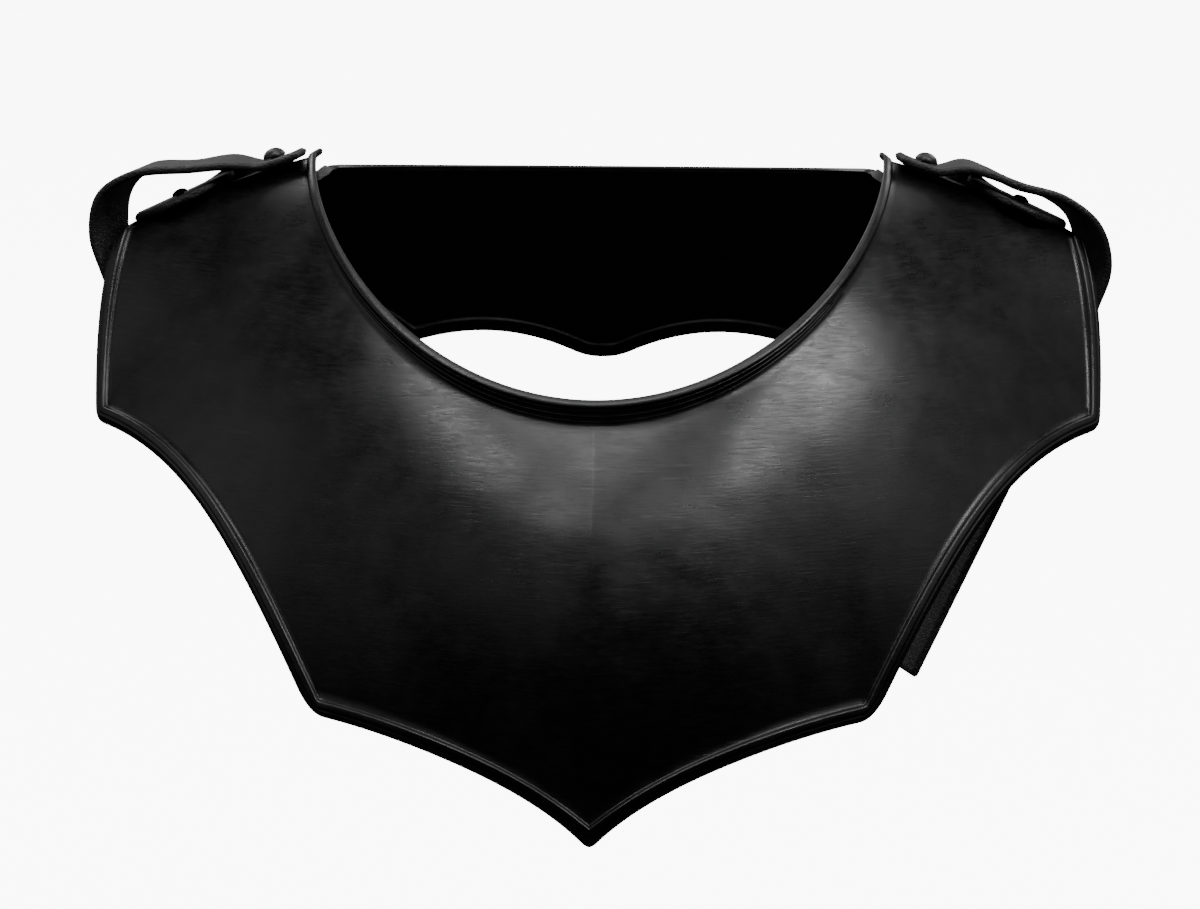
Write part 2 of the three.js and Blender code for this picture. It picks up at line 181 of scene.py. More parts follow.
def soft_min(a: float, b: float, size: float) -> float:
    """Return the lesser of two runs, rounded where they meet over a size."""
    if size <= 0:
        return min(a, b)
    h = max(size - abs(a - b), 0.0) / size
    return min(a, b) - h * h * size * 0.25


@dataclass
class Skin:
    """A plate's outer face as a function of the direction round the neck and the run down it."""

    neck: Callable[[float, float], Vector]
    shape: Sequence[ShapeRow]
    points: Sequence[EdgePoint]
    reach: float
    facing: int
    ridge_height: float
    ridge_half_width: float
    border_width: float

    def bare(self, at: float, past: float, run: float) -> Vector:
        """Return the point before the keel is raised, past the shoulder by past."""
        turn = abs(at)
        side = -1.0 if at < 0 else 1.0
        foot = self.neck(turn, past)
        fan = math.radians(read_column(self.shape, "fan", turn))
        top = math.radians(read_column(self.shape, "top", turn))
        edge = math.radians(read_column(self.shape, "edge", turn))
        bend = (edge - top) / (self.reach * read_column(self.shape, "reach", turn))
        out = (math.sin(top + bend * run) - math.sin(top)) / bend
        down = (math.cos(top) - math.cos(top + bend * run)) / bend
        return Vector((
            side * (foot.x + out * math.sin(fan)),
            foot.y + self.facing * out * math.cos(fan),
            foot.z - down,
        ))

    def seat(self, at: float, past: float, run: float) -> Seat:
        """Return the finished skin's point, outward tangent and outer normal."""
        point = self.bare(at, past, run)
        tangent = (self.bare(at, past, run + STEP) - self.bare(at, past, run - STEP)).normalized()
        if past > 0:
            around = self.bare(at, past + STEP, run) - self.bare(at, past - STEP, run)
        else:
            around = self.bare(at + STEP, 0, run) - self.bare(at - STEP, 0, run)
        normal = around.cross(tangent).normalized()
        outward = Vector((point.x, point.y, abs(point.x) * OUTWARD_SLOPE + OUTWARD_LIFT))
        if (past > 0 and normal.z < 0) or (past == 0 and normal.dot(outward) < 0):
            normal.negate()
        share = max(0.0, 1.0 - abs(point.x) / self.ridge_half_width) ** 2
        raised = self.ridge_height * share * min(1.0, run / self.ridge_half_width)
        return Seat(point + normal * raised, tangent, normal)

    def edge_run(self, index: int, at: float) -> float:
        """Return the run to the edge between two of its points, drawn on past them."""
        a, b = self.points[index], self.points[index + 1]
        s = (at - a.at) / (b.at - a.at)
        return self.reach * (mix(a.run, b.run, s) - 4 * a.dip * s * (1 - s))

    def border_line(self, index: int, at: float) -> float:
        """Return the run to the border's inner line, a border's width square to the edge."""
        run = self.edge_run(index, at)
        here = self.bare(at, 0, run)
        along = (self.bare(at + STEP, 0, self.edge_run(index, at + STEP)) - here).normalized()
        down = (here - self.bare(at, 0, run - STEP)).normalized()
        return run - self.border_width / math.sqrt(1 - min(STEEPEST, along.dot(down) ** 2))

    def edge_at(self, turn: float) -> tuple[float, float]:
        """Return the runs to the edge and to the border's inner line in one direction."""
        index = 0
        while index < len(self.points) - 2 and turn > self.points[index + 1].at:
            index += 1
        before = turn - self.points[index].at < self.points[index + 1].at - turn
        near = index - 1 if before else index + 1
        own, line = self.edge_run(index, turn), self.border_line(index, turn)
        if near > len(self.points) - 2:
            return own, line
        if near < 0:
            return soft_min(own, self.edge_run(0, -turn), self.points[0].round), line
        other = self.edge_run(near, turn)
        size = self.points[max(index, near)].round
        return soft_min(own, other, size), min(line, self.border_line(near, turn))

    def stations(self, steps: Sequence[int]) -> list[float]:
        """Return directions across the plate, gathered towards the edge's points."""
        half: list[float] = []
        for i, count in enumerate(steps):
            a, b = self.points[i].at, self.points[i + 1].at
            half += [mix(a, b, (1 - math.cos(math.pi * k / count)) / 2) for k in range(count)]
        half.append(self.points[-1].at)
        return [-at for at in reversed(half[1:])] + half


@dataclass(frozen=True)
class Border:
    """The raised, rolled border along a plate's edge."""

    width: float = 6.0
    raise_over: float = 1.5
    under: float = 0.7
    samples: int = 22
    seam: float = 0.55
    seam_width: float = 0.07
    seam_depth: float = 0.14
    crease_share: float = 0.16
    fall_start: float = 0.66
    crown_height: float = 0.12
    edge_drop: float = 0.35
    crest_wear: float = 0.5
    worn_at: float = 0.3
    worn_width: float = 0.36
    under_share: float = 0.3

    def section(self, across: float) -> tuple[float, float, float]:
        """Return height over the skin, depth under it and wear, a share across the border."""
        crease = smooth(across / self.crease_share)
        fall = smooth((across - self.fall_start) / (1 - self.fall_start))
        outer = 1 - self.under_share
        crown = 1.0 + self.crown_height * math.sin(math.pi * min(1.0, across / outer))
        seam = math.exp(-(((across - self.seam) / self.seam_width) ** 2))
        over = crease * crown * (1 - fall) - self.edge_drop * fall - self.seam_depth * seam
        worn = 1 - smooth(abs(across - self.worn_at) / self.worn_width)
        wear = self.crest_wear * crease * worn * (1 - seam)
        share = self.under_share
        under = smooth(across / share) * (1 - smooth((across - outer) / share))
        return over * self.raise_over, under * self.under, wear


def make_object(name: str, verts: Sequence[Vector], faces: Sequence[Sequence[int]],
                wear: Sequence[float], sharp_angle: float = 50.0) -> bpy.types.Object:
    """Make a smooth-shaded object from points in millimetres.

    Args:
        name: The piece's name.
        verts: Points in millimetres.
        faces: Corners of each face.
        wear: Wear of each point, from 0 to 1; it also carries painted shade on strap edges and a
            painted highlight on the keel.
        sharp_angle: Edges that turn by more degrees than this stay sharp.

    Returns:
        The new object, linked to the scene.
    """
    mesh = bpy.data.meshes.new(name)
    mesh.from_pydata([tuple(v * MM) for v in verts], [], [tuple(face) for face in faces])
    mesh.validate()
    mesh.shade_smooth()
    mesh.set_sharp_from_angle(angle=math.radians(sharp_angle))
    attribute = mesh.attributes.new("wear", "FLOAT", "POINT")
    attribute.data.foreach_set("value", list(wear))
    piece = bpy.data.objects.new(name, mesh)
    bpy.context.scene.collection.objects.link(piece)
    return piece


def sheet_object(name: str, rows: Sequence[Sequence[Pair]]) -> bpy.types.Object:
    """Close rows of paired points into one solid sheet."""
    across = len(rows[0])
    verts: list[Vector] = []
    wear: list[float] = []
    for row in rows:
        for pair in row:
            verts += [pair.outer, pair.inner]
            wear += [pair.wear, pair.wear_inner]

    def quad(*corners: tuple[int, int, int]) -> tuple[int, ...]:
        """Return a face's vertex numbers from its rows, columns and sides of the sheet."""
        return tuple(2 * (i * across + j) + side for i, j, side in corners)

    faces: list[tuple[int, ...]] = []
    last, end = across - 1, len(rows) - 1
    for i in range(end):
        for j in range(last):
            faces.append(quad((i, j, 0), (i, j + 1, 0), (i + 1, j + 1, 0), (i + 1, j, 0)))
            faces.append(quad((i, j, 1), (i + 1, j, 1), (i + 1, j + 1, 1), (i, j + 1, 1)))
        faces.append(quad((i, 0, 1), (i, 0, 0), (i + 1, 0, 0), (i + 1, 0, 1)))
        faces.append(quad((i, last, 0), (i, last, 1), (i + 1, last, 1), (i + 1, last, 0)))
    for j in range(last):
        faces.append(quad((0, j, 0), (0, j, 1), (0, j + 1, 1), (0, j + 1, 0)))
        faces.append(quad((end, j, 0), (end, j + 1, 0), (end, j + 1, 1), (end, j, 1)))
    return make_object(name, verts, faces, wear)


def finish_piece(piece: bpy.types.Object, material: bpy.types.Material,
                 node: str) -> None:
    """Dress a piece and let it stand for its node.

    Args:
        piece: The fine piece.
        material: Its material.
        node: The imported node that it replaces.
    """
    piece.data.materials.append(material)
    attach(piece, "root")
    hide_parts(node)
    LOG.info("%s: %d faces, for %s", piece.name, len(piece.data.polygons), node)


@dataclass
class BreastPlate:
    """The front plate, with its lip, keel, scalloped edge and shoulder tabs."""

    neck_half_width: float = 103.0
    neck_depth: float = 95.0
    neck_drop: float = 74.0
    neck_drop_power: float = 1.3
    reach: float = 143.0
    crest_run: float = 20.0
    crest_tilt: float = 5.0
    crest_taper: float = 0.3
    lip_height: float = 6.6
    lip_shoulder_height: float = 1.2
    lip_bead_radius: float = 1.5
    lip_bead_roll: float = 1.0
    lip_bead_swell: float = 0.35
    lip_bead_wear: float = 0.15
    lip_bead_steps: int = 12
    lip_bead_end: float = 0.96
    lip_worn_at: float = 0.75
    lip_worn_angle: float = 1.3
    lip_fillet: float = 0.5
    lip_lines: int = 5
    lip_line_height: float = 0.16
    lip_line_room: float = 3.0
    lip_line_power: int = 4
    lip_wall_rows: int = 20
    lip_crease: float = 0.35
    border: Border = field(default_factory=Border)
    steps: tuple[int, ...] = (46, 50, 22)
    plate_rows: int = 40
    # The keel stripe is partly worn steel and partly a painted highlight.
    ridge_stripe: float = 0.45
    ridge_stripe_width: float = 0.5
    ridge_wear_and_highlight_fade: float = 1.2
    inner_wear: float = 0.4
    inner_lip_wear: float = 0.5

    def __post_init__(self) -> None:
        """Make the skin from the sizes."""
        self.skin = Skin(
            neck=self.neck,
            shape=(
                ShapeRow(0, 0, 1, 46, 88),
                ShapeRow(35, 42, 0.88, 50, 80),
                ShapeRow(70, 87, 0.74, 30, 52),
                ShapeRow(90, 90, 0.535, 14, 31),
            ),
            points=(
                EdgePoint(0, 1, 0.09, 5),
                EdgePoint(35, 0.87, 0.178, 8),
                EdgePoint(70, 0.74, 0.01, 5),
                EdgePoint(90, 0.535, 0, 0),
            ),
            reach=self.reach,
            facing=-1,
            ridge_height=2.2,
            ridge_half_width=40.0,
            border_width=self.border.width,
        )

    def neck(self, turn: float, past: float) -> Vector:
        """Return the foot of the lip in a direction round the neck, on one side."""
        angle = math.radians(turn)
        return Vector((
            self.neck_half_width * math.sin(angle),
            -self.neck_depth * math.cos(angle) + past,
            -self.neck_drop * abs(math.cos(angle)) ** self.neck_drop_power
            - past * math.tan(math.radians(self.crest_tilt)),
        ))

    def lip_section(self, height: float) -> list[tuple[float, float, float, float, float]]:
        """Return the lip's section from its bead's tip to the wall's foot.

        Args:
            height: Height of the lip over the plate.

        Returns:
            Rows of reach and height of the outer face, the same of the inner face, and wear.
        """
        half, steps = SHEET_THICKNESS / 2, self.lip_bead_steps
        start = math.asin(half / self.lip_bead_radius)
        section = []
        for k in range(steps, -1, -1):
            angle = mix(start, self.lip_bead_end * math.pi, k / steps)
            roll = -half - self.lip_bead_roll * k / steps
            z = height - self.lip_bead_radius * math.cos(angle)
            reach = self.lip_bead_radius * math.sin(angle)
            away = abs(angle - self.lip_worn_at * math.pi) / self.lip_worn_angle
            swell = reach * (1 + self.lip_bead_swell * math.cos(angle))
            wear = self.lip_bead_wear * smooth(1 - away)
            section.append((roll + swell, z, roll - reach, z, wear))
        foot = height - self.lip_bead_radius * math.cos(start)
        room = max(0.0, foot - self.lip_fillet)
        line = min(1.0, room / self.lip_line_room) * self.lip_line_height
        for k in range(1, self.lip_wall_rows):
            share = k / self.lip_wall_rows
            wave = max(0.0, math.sin(math.pi * share * self.lip_lines))
            raised = line * wave**self.lip_line_power
            z = mix(foot, self.lip_fillet, share)
            section.append((raised, z, -SHEET_THICKNESS, z - share * self.lip_fillet, raised))
        section.append((0.0, self.lip_fillet, -SHEET_THICKNESS, 0.0, 0.0))
        return section

    def row(self, at: float, past: float) -> list[Pair]:
        """Return one section of the plate from lip to edge."""
        foot = self.skin.seat(at, past, 0)
        x, y = foot.point.x, foot.point.y
        away = Vector((x / self.neck_half_width**2, y / self.neck_depth**2, 0))
        if past > 0:
            away.y = 0
        away.normalize()
        height = mix(self.lip_shoulder_height, self.lip_height, math.cos(math.radians(at)))
        pairs = []
        for outer_reach, outer_z, inner_reach, inner_z, wear in self.lip_section(height):
            outer = foot.point + away * outer_reach
            inner = foot.point + away * inner_reach
            outer.z, inner.z = foot.point.z + outer_z, foot.point.z + inner_z
            pairs.append(Pair(outer, inner, wear, wear * self.inner_lip_wear))
        edge, line = (run - past * self.crest_taper for run in self.skin.edge_at(abs(at)))
        shares = [self.lip_crease / (line - self.lip_fillet)]
        shares += [k / self.plate_rows for k in range(1, self.plate_rows)]
        for share in shares:
            run = mix(self.lip_fillet, line, share)
            seat = self.skin.seat(at, past, run)
            # Bright stripe along the keel, fading down the plate: partly wear, partly a painted
            # highlight on the crease.
            ridge = math.exp(-((seat.point.x / self.ridge_stripe_width) ** 2))
            ridge *= self.ridge_stripe * (1 - smooth(share * self.ridge_wear_and_highlight_fade))
            inner = seat.point - seat.normal * SHEET_THICKNESS
            pairs.append(Pair(seat.point.copy(), inner, ridge))
        for k in range(self.border.samples + 1):
            across = k / self.border.samples
            seat = self.skin.seat(at, past, mix(line, edge, across))
            over, under, wear = self.border.section(across)
            pairs.append(Pair(
                seat.point + seat.normal * over,
                seat.point - seat.normal * (SHEET_THICKNESS + under),
                wear,
                wear * self.inner_wear,
            ))
        return pairs

    def build(self, steel: bpy.types.Material) -> None:
        """Build the plate and dress it in steel."""
        pasts = [self.crest_run * share for share in (0.25, 0.5, 0.75, 1.0)]
        rows = [self.row(-90, past) for past in reversed(pasts)]
        rows += [self.row(at, 0) for at in self.skin.stations(self.steps)]
        rows += [self.row(90, past) for past in pasts]
        finish_piece(sheet_object("breast_plate", rows), steel, "front_plate")


@dataclass
class NapePlate:
    """The back plate, with a rolled border all round and a crease down its middle."""

    half_width: float = 103.0
    centre_back: float = 20.0
    depth: float = 55.0
    side_drop: float = 5.0
    drop: float = 8.0
    reach: float = 84.0
    end: float = 76.0
    corner_radius: float = 12.0
    border: Border = field(default_factory=Border)
    steps: tuple[int, ...] = (46, 56)
    plate_rows: int = 24
    end_margin: float = 0.1
    ridge_stripe: float = 0.7
    ridge_stripe_width: float = 0.9
    inner_wear: float = 0.6

    def __post_init__(self) -> None:
        """Make the skin from the sizes."""
        self.skin = Skin(
            neck=self.neck,
            shape=(
                ShapeRow(0, 0, 1, 70, 84),
                ShapeRow(40, 24, 0.9, 66, 84),
                ShapeRow(76, 80, 0.8, 40, 60),
            ),
            points=(
                EdgePoint(0, 1, 0.12, 16),
                EdgePoint(40, 0.88, 0.16, 3),
                EdgePoint(self.end, 0.86, 0, 0),
            ),
            reach=self.reach,
            facing=1,
            ridge_height=2.0,
            ridge_half_width=34.0,
            border_width=self.border.width,
        )

    def neck(self, turn: float, _past: float) -> Vector:
        """Return the plate's top edge in a direction round the neck, on one side."""
        angle = math.radians(turn)
        return Vector((
            self.half_width * math.sin(angle),
            self.centre_back + self.depth * math.cos(angle),
            -self.side_drop - self.drop * math.cos(angle),
        ))

    def border_at(self, distance: float) -> tuple[float, float, float]:
        """Return the border's height, depth and wear at a distance from the edge."""
        return self.border.section(1 - min(1.0, max(0.0, distance) / self.border.width))

    def row(self, at: float) -> list[Pair]:
        """Return one section of the plate from its top edge to its lower edge."""
        from_end = math.radians(self.end - abs(at)) * self.half_width
        edge, line = self.skin.edge_at(abs(at))
        inside = max(0.0, self.corner_radius - from_end)
        top = self.corner_radius - math.sqrt(self.corner_radius**2 - inside**2)
        bottom = edge - top
        inner = min(line, bottom - self.border.width)
        samples, width = self.border.samples, self.border.width
        runs = [top + width * k / samples for k in range(samples + 1)]
        runs += [mix(runs[-1], inner, k / self.plate_rows) for k in range(1, self.plate_rows)]
        runs += [mix(inner, bottom, k / samples) for k in range(samples + 1)]
        end_over, end_under, end_wear = self.border_at(from_end)
        pairs = []
        for run in runs:
            lower = (bottom - run) * width / (bottom - inner)
            over, under, wear = self.border_at(min(run - top, lower))
            rim = min(over, end_over) if from_end < self.end_margin else max(over, end_over)
            seat = self.skin.seat(at, 0, run)
            ridge = self.ridge_stripe * math.exp(-((seat.point.x / self.ridge_stripe_width) ** 2))
            pairs.append(Pair(
                seat.point + seat.normal * rim,
                seat.point - seat.normal * (SHEET_THICKNESS + max(under, end_under)),
                max(wear, end_wear, ridge),
                max(wear * self.inner_wear, ridge),
            ))
        return pairs

    def build(self, steel: bpy.types.Material) -> None:
        """Build the plate and dress it in steel."""
        rows = [self.row(at) for at in reversed(self.skin.stations(self.steps))]
        finish_piece(sheet_object("nape_plate", rows), steel, "back_plate")


@dataclass
class Spline:
    """A centripetal curve through points, with its length measured for even steps."""

    points: list[Vector]
    samples: int = 400
    least_span: float = 1e-4
    tangent_step: float = 1e-3

    def __post_init__(self) -> None:
        """Measure the curve."""
        self.lengths = [0.0]
        last = self.at(0)
        for k in range(1, self.samples + 1):
            here = self.at(k / self.samples)
            self.lengths.append(self.lengths[-1] + (here - last).length)
            last = here

    def at(self, t: float) -> Vector:
        """Return the curve's point at a parameter from 0 to 1."""
        count = len(self.points) - 1
        i = min(int(t * count), count - 1)
        w = t * count - i
        p1, p2 = self.points[i], self.points[i + 1]
        p0 = self.points[i - 1] if i > 0 else p1 * 2 - self.points[1]
        p3 = self.points[i + 2] if i + 2 <= count else p2 * 2 - self.points[count - 1]
        spans = ((p0, p1), (p1, p2), (p2, p3))
        d0, d1, d2 = (max((b - a).length_squared ** 0.25, self.least_span) for a, b in spans)
        m1 = ((p1 - p0) / d0 - (p2 - p0) / (d0 + d1) + (p2 - p1) / d1) * d1
        m2 = ((p2 - p1) / d1 - (p3 - p1) / (d1 + d2) + (p3 - p2) / d2) * d1
        w2, w3 = w * w, w * w * w
        ends = p1 * (2 * w3 - 3 * w2 + 1) + p2 * (3 * w2 - 2 * w3)
        return ends + m1 * (w3 - 2 * w2 + w) + m2 * (w3 - w2)

    def parameter(self, share: float) -> float:
        """Return the parameter at a share of the length."""
        target = share * self.lengths[-1]
        k = 1
        while k < self.samples and self.lengths[k] < target:
            k += 1
        step = self.lengths[k] - self.lengths[k - 1]
        return (k - 1 + (target - self.lengths[k - 1]) / max(step, 1e-9)) / self.samples

    def tangent(self, t: float) -> Vector:
        """Return the direction of the curve at a parameter."""
        after, before = min(1.0, t + self.tangent_step), max(0.0, t - self.tangent_step)
        return (self.at(after) - self.at(before)).normalized()


@dataclass
class Strap:
    """A flat leather strap along seats that give its centre line and width direction."""

    name: str
    node: str
    centre: list[Vector]
    across: list[Vector]
    width: float
    thickness: float
    rounded: bool
    steps: int = 150
    columns: int = 24
    edge_share: float = 0.1
    edge_thickness: float = 0.35
    edge_power: float = 2.5
    tip_length: float = 1.2
    tip_start: float = 0.35
    tip_round: float = 0.4
    burnished_and_shaded_length: float = 3.0

    def row(self, centre: Spline, across: Spline, share: float) -> list[Pair]:
        """Return one section of the strap, with softened edges."""
        t = centre.parameter(share)
        tangent = centre.tangent(t)
        wide = across.at(t)
        wide = (wide - tangent * wide.dot(tangent)).normalized()
        up = tangent.cross(wide).normalized()
        from_end, radius = min(share, 1 - share) * centre.lengths[-1], self.width / 2
        nearest = from_end if self.rounded else radius
        inside = max(0.0, radius - nearest - self.tip_round)
        half = math.sqrt(radius**2 - inside**2)
        tip = smooth(from_end / self.tip_length + self.tip_start)
        pairs = []
        for k in range(self.columns + 1):
            side = -math.cos(math.pi * k / self.columns)
            near = max(0.0, (abs(side) - 1 + self.edge_share) / self.edge_share)
            thick = self.thickness / 2 * tip * mix(1.0, self.edge_thickness, near**self.edge_power)
            place = centre.at(t) + wide * side * half
            # Edges and ends take a darker mask: partly burnished leather, partly painted shade
            # where the edges turn away from the lights.
            burnish_and_edge_shade = max(near, 1 - smooth(from_end / self.burnished_and_shaded_length))
            pairs.append(Pair(place + up * thick, place - up * thick, burnish_and_edge_shade, burnish_and_edge_shade))
        return pairs

    def build(self, leather: bpy.types.Material) -> None:
        """Build the strap and dress it in leather."""
        centre, across = Spline(self.centre), Spline(self.across)
        rows = [self.row(centre, across, k / self.steps) for k in range(self.steps + 1)]
        finish_piece(sheet_object(self.name, rows[::-1]), leather, self.node)


def mirror(vector: Vector, side: Side) -> Vector:
    """Return a vector on the given side."""
    return Vector((vector.x * side.value, vector.y, vector.z))


@dataclass
class Strapping:
    """The straps of both shoulders: joining straps and looped fastening straps."""

    breast: BreastPlate
    nape: NapePlate
    joining_width: float = 39.0
    joining_thickness: float = 2.5
    joining_place: float = 48.5
    joining_forward: float = 8.0
    joining_lead: float = 6.0
    joining_tail: float = 8.0
    crest_margin: float = 0.1
    nape_run: float = 34.0
    nape_at: float = 66.0
    strap_width: float = 26.0
    strap_thickness: float = 3.0
    strap_back: float = 6.0
    strap_steps: int = 260
    strap_start: float = 2.8
    strap_start_lift: float = 1.0
    strap_release: float = 5.0
    strap_lift: float = 0.3
    mid_lift_share: float = 0.125
    rivet_place: float = 12.5
    loop_out: float = 5.0
    tail_drop: float = 182.0
    tail_forward: float = 22.0
    tail_shares: tuple[float, ...] = (0.35, 0.7, 1.0)
    tail_inset: dict[Side, float] = field(
        default_factory=lambda: {Side.LEFT: 78.0, Side.RIGHT: 68.0})
    routes: dict[Side, tuple[RouteRow, ...]] = field(default_factory=lambda: {
        Side.LEFT: (
            RouteRow(0.38, -0.075, 0, 0, 1),
            RouteRow(0.56, -0.13, 0, 1, 3),
            RouteRow(0.8, -0.19, 0.04, 9, 1),
            RouteRow(0.94, -0.45, 0.1, 18, 0),
            RouteRow(0.98, -0.88, 0.16, 20, 0),
            RouteRow(0.94, -1.4, 0.16, 15, 0),
        ),
        Side.RIGHT: (
            RouteRow(0.36, -0.06, 0, 0, 2),
            RouteRow(0.46, -0.13, 0, 0, 4),
            RouteRow(0.62, -0.3, 0, 2, 7),
            RouteRow(0.79, -0.43, 0.04, 9, 5),
            RouteRow(0.93, -0.72, 0.1, 17, 0),
            RouteRow(0.985, -1.2, 0.16, 20, 0),
            RouteRow(0.94, -1.75, 0.16, 15, 0),
        ),
    })

    def joining(self, side: Side) -> Strap:
        """Return the strap that joins the two plates over one shoulder."""
        height = SEAT_GAP + self.joining_thickness / 2
        centre: list[Vector] = []
        across: list[Vector] = []
        crest = self.breast.crest_run
        for y in (-self.joining_forward, -self.joining_forward / 2, 0.0, crest / 2, crest):
            seat = self.breast.skin.seat(90, max(y, self.crest_margin), self.joining_place)
            point = seat.point.copy()
            point.y = y
            centre.append(mirror(point + seat.normal * height, side))
            across.append(mirror(seat.tangent, side))
        for step in (self.joining_lead, 0.0, -self.joining_tail):
            at = self.nape_at + step
            seat = self.nape.skin.seat(at, 0, self.nape_run)
            centre.append(mirror(seat.point + seat.normal * height, side))
            across.append(mirror(seat.tangent, side))
        name = side.name.lower()
        return Strap(f"shoulder_strap_{name}", f"joining_strap_{name}", centre, across,
                     self.joining_width, self.joining_thickness, True)

    def fastening(self, side: Side) -> Strap:
        """Return the strap that loops off one shoulder and hangs behind the plate."""
        tilt = math.radians(self.breast.crest_tilt)
        along = Vector((0, math.cos(tilt), -math.sin(tilt)))
        height = SEAT_GAP + self.strap_thickness / 2
        skin, start, rivet = self.breast.skin, self.strap_start, self.rivet_place
        centre: list[Vector] = []
        across: list[Vector] = []
        seats = (
            (start, self.strap_start_lift),
            ((start + rivet) / 2, self.strap_start_lift * self.mid_lift_share),
            (rivet, 0.0),
            (rivet + self.strap_release, self.strap_lift),
        )
        for run, lift in seats:
            seat = skin.seat(90, self.strap_back, run)
            centre.append(seat.point + seat.normal * (height + lift))
            across.append(along.copy())
        edge = skin.bare(90, self.strap_back, skin.edge_at(90)[0])
        loop_x = edge.x + self.loop_out
        for row in self.routes[side]:
            yaw, fall = math.radians(row.yaw), math.radians(row.tilt)
            centre.append(Vector((
                mix(self.breast.neck_half_width, loop_x, row.out),
                self.strap_back + self.strap_width * row.back,
                -edge.z * row.rise,
            )))
            across.append(Vector((-math.sin(yaw), math.cos(yaw) * math.cos(fall), -math.sin(fall))))
        last, way = centre[-1], across[-1]
        end_x, end_y = loop_x - self.tail_inset[side], self.strap_back - self.tail_forward
        end = Vector((end_x, end_y, -self.tail_drop))
        for share in self.tail_shares:
            centre.append(last.lerp(end, share))
            across.append(way.copy())
        name = side.name.lower()
        return Strap(f"fastening_strap_{name}", f"strap_{name}",
                     [mirror(p, side) for p in centre], [mirror(p, side) for p in across],
                     self.strap_width, self.strap_thickness, False, self.strap_steps)

    def build(self, leather: bpy.types.Material) -> None:
        """Build all four straps."""
        for side in Side:
            self.joining(side).build(leather)
            self.fastening(side).build(leather)


@dataclass(frozen=True)
class RivetKind:
    """A round-headed rivet: its head, and the stack of leather that it holds."""

    name: str
    head_radius: float
    head_height: float
    stack: float


@dataclass
class Riveting:
    """All the rivets, turned on their axes and seated on the plates."""

    strapping: Strapping
    shank_radius: float = 1.6
    peen_radius: float = 2.8
    peen_height: float = 1.0
    sides: int = 48
    rim_share: float = 0.1
    rim_inset: float = 0.97
    dome_power: float = 1.1
    sharp_angle: float = 40.0
    small_place: float = 4.0

    def profile(self, kind: RivetKind) -> list[tuple[float, float]]:
        """Return the rivet's outline from its peened tail to the top of its head."""
        under = -SHEET_THICKNESS - SEAT_GAP
        peen = [
            (self.peen_radius * math.sin(a), under - self.peen_height * math.cos(a))
            for a in (math.radians(d) for d in range(8, 90, 9))
        ]
        radius, rise, rim = kind.head_radius, kind.head_height, self.rim_share
        shank = [
            (self.peen_radius, under), (self.shank_radius, under), (self.shank_radius, kind.stack),
            (radius * self.rim_inset, kind.stack), (radius, kind.stack + rise * rim),
        ]
        dome = []
        for a in (math.radians(d) for d in range(8, 88, 5)):
            height = rise * (rim + (1 - rim) * math.sin(a) ** self.dome_power)
            dome.append((radius * math.cos(a), kind.stack + height))
        return peen + shank + dome

    def build_one(self, kind: RivetKind, seat: Seat, side: Side,
                  steel: bpy.types.Material) -> None:
        """Build one rivet.

        Args:
            kind: Its name and sizes.
            seat: Where it goes through the plate, on the right.
            side: The side that it is on.
            steel: Its material.
        """
        profile, label = self.profile(kind), side.name.lower()
        turn = Vector((0, 0, 1)).rotation_difference(mirror(seat.normal, side))
        place = mirror(seat.point, side)
        verts, wear, faces = [], [], []
        low, high = profile[0][1], profile[-1][1]
        for radius, z in profile:
            for k in range(self.sides):
                angle = 2 * math.pi * k / self.sides
                verts.append(Vector((radius * math.cos(angle), radius * math.sin(angle), z)))
                wear.append(smooth((z - kind.stack) / kind.head_height))
        for i in range(len(profile) - 1):
            for k in range(self.sides):
                a, b = i * self.sides + k, i * self.sides + (k + 1) % self.sides
                faces.append((a, b, b + self.sides, a + self.sides))
        base, top = len(verts), len(verts) + 1
        verts += [Vector((0, 0, low)), Vector((0, 0, high))]
        wear += [0.0, 1.0]
        first = (len(profile) - 1) * self.sides
        for k in range(self.sides):
            after = (k + 1) % self.sides
            faces.append((base, after, k))
            faces.append((top, first + k, first + after))
        placed = [turn @ v + place for v in verts]
        name = f"{kind.name}_head_{label}"
        piece = make_object(name, placed, faces, wear, self.sharp_angle)
        finish_piece(piece, steel, f"{kind.name}_{label}")

    def build(self, steel: bpy.types.Material) -> None:
        """Build the six rivets."""
        straps = self.strapping
        on_strap = SEAT_GAP * 2 + straps.strap_thickness
        on_joining = SEAT_GAP * 2 + straps.joining_thickness
        breast, nape = straps.breast.skin, straps.nape.skin
        places = (
            (RivetKind("dome_rivet", head_radius=4.1, head_height=3.4, stack=on_strap),
             breast.seat(90, straps.strap_back, straps.rivet_place)),
            (RivetKind("small_rivet", head_radius=3.0, head_height=1.9, stack=on_joining),
             breast.seat(90, self.small_place, straps.joining_place)),
            (RivetKind("nape_rivet", head_radius=3.0, head_height=1.9, stack=on_joining),
             nape.seat(straps.nape_at, 0, straps.nape_run)),
        )
        for side in Side:
            for kind, seat in places:
                self.build_one(kind, seat, side, steel)


